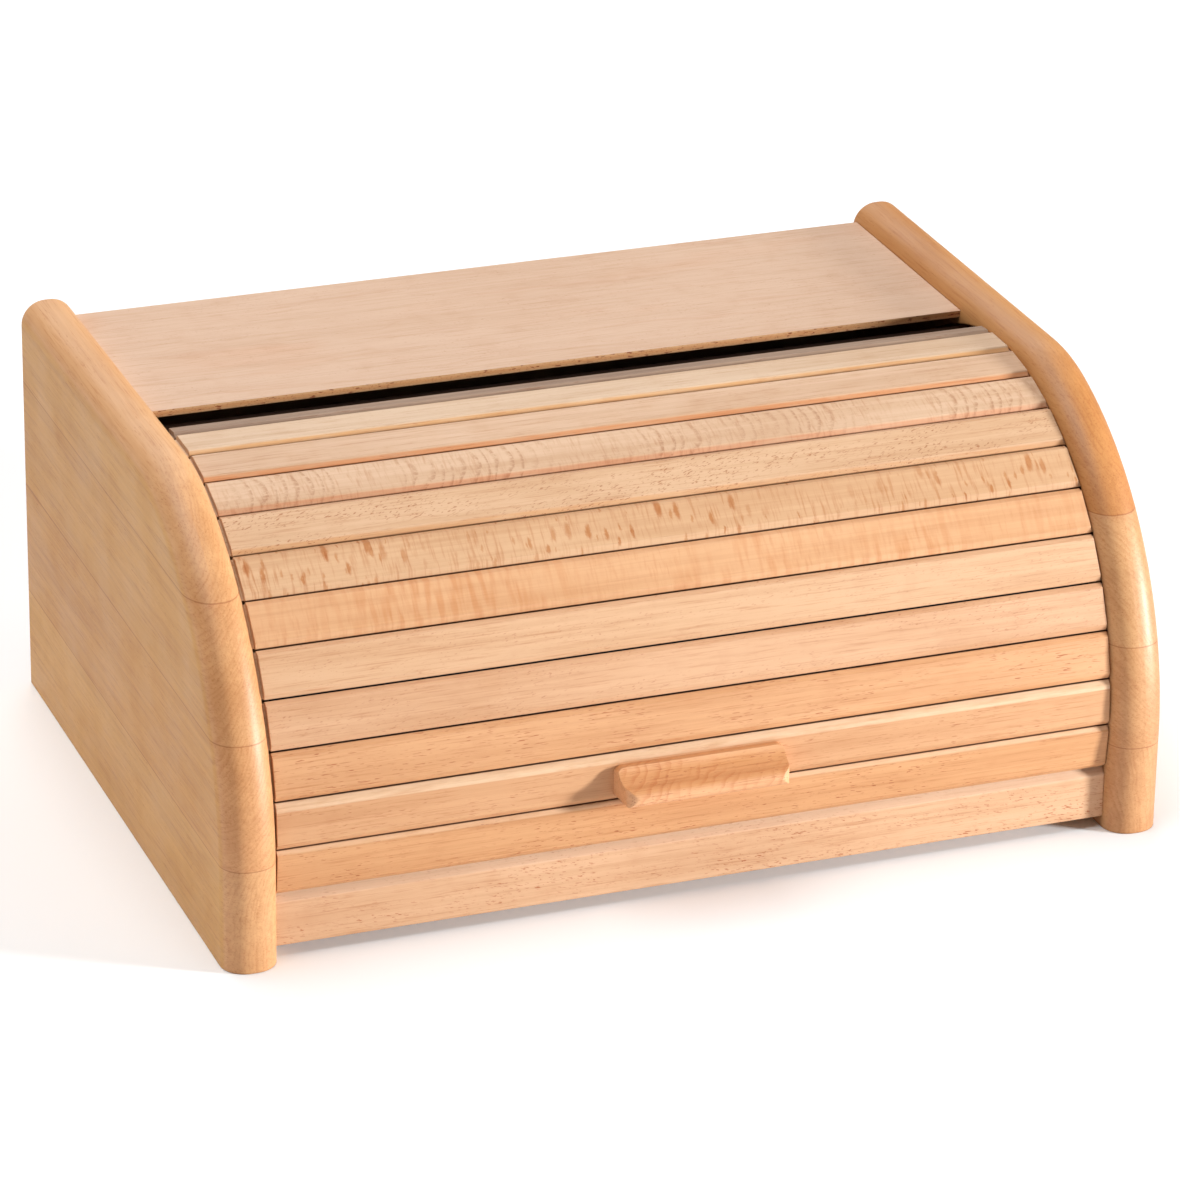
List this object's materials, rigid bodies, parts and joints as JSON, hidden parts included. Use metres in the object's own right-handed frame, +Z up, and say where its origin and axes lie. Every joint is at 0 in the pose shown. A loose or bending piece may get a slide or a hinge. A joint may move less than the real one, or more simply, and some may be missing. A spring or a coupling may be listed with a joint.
{
  "type": "bread box with roll top",
  "caption": "wooden bread box whose slatted tambour door slides up and back in curved grooves cut in its rounded side panels",
  "frame": {"origin": "middle of the overall box, on the surface the box stands on", "axes": "+X to the right side panel, +Y to the back panel, +Z up; the door and its handle are at -Y"},
  "size_m": [0.39, 0.2843, 0.1705],
  "materials": {
    "panel_beech": "satin",
    "plywood": "satin",
    "rail_beech": "satin",
    "dowel_beech": "matte",
    "slat_beech": "satin",
    "handle_beech": "satin",
    "dark_cloth": "matte",
    "screw_steel": "satin"
  },
  "bodies": {
    "case": {"left_side_panel": "panel_beech", "right_side_panel": "panel_beech", "top_panel": "plywood", "back_panel": "plywood", "bottom_panel": "plywood", "front_rail": "rail_beech", "rear_rail": "rail_beech", "dowels": "dowel_beech"},
    "door": {"slat_01": "slat_beech", "slat_02": "slat_beech", "slat_03": "slat_beech", "slat_04": "slat_beech", "slat_05": "slat_beech", "slat_06": "slat_beech", "slat_07": "slat_beech", "slat_08": "slat_beech", "slat_09": "slat_beech", "slat_10": "slat_beech", "slat_11": "slat_beech", "end_slat": "slat_beech", "tail_batten": "slat_beech", "cloth_backing": "dark_cloth", "handle": "handle_beech", "handle_screws": "screw_steel"}
  },
  "joints": [
    {"name": "door_slide_on_round_track", "type": "hinge", "parent": "case", "child": "door", "pos_m": [0, -0.0091, 0.047], "axis": [-1, 0, 0], "range_deg": [0, 78]}
  ]
}
